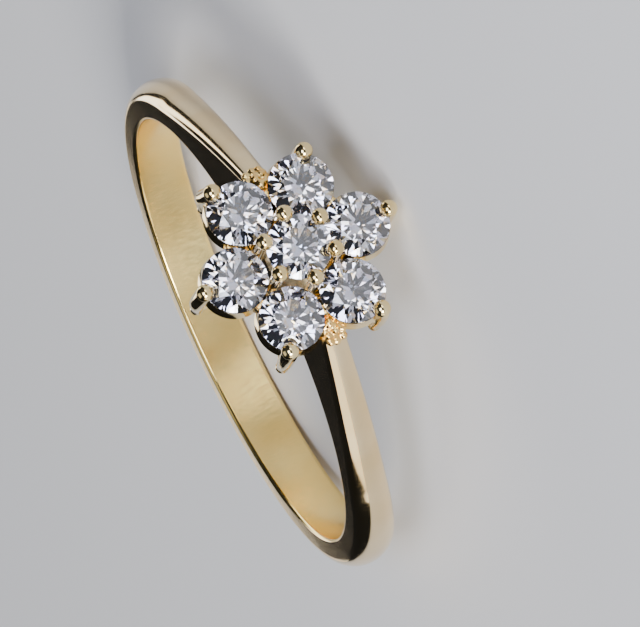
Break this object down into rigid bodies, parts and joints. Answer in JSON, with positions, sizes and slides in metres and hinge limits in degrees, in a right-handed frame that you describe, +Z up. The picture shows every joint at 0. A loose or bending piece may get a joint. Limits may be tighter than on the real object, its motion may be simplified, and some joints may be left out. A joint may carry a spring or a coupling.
{
  "type": "cluster ring",
  "caption": "Gold finger ring with a tapered band, rising shoulders and a flower of round brilliant stones in claws round a raised centre stone.",
  "frame": {"origin": "centre of the finger hole", "axes": "the ring lies on its side as it rests by itself: +Z up, -Y out through the flower, X across the finger hole; the finger axis leans 8.7 degrees from +Z towards +Y"},
  "size_m": [0.02, 0.0243, 0.0084],
  "materials": {
    "gold": "polished yellow gold",
    "diamond": "faceted and polished"
  },
  "bodies": {
    "root": {"shank_and_setting": "gold", "center_stone": "diamond", "petal_stone_1": "diamond", "petal_stone_2": "diamond", "petal_stone_3": "diamond", "petal_stone_4": "diamond", "petal_stone_5": "diamond", "petal_stone_6": "diamond"}
  },
  "joints": []
}
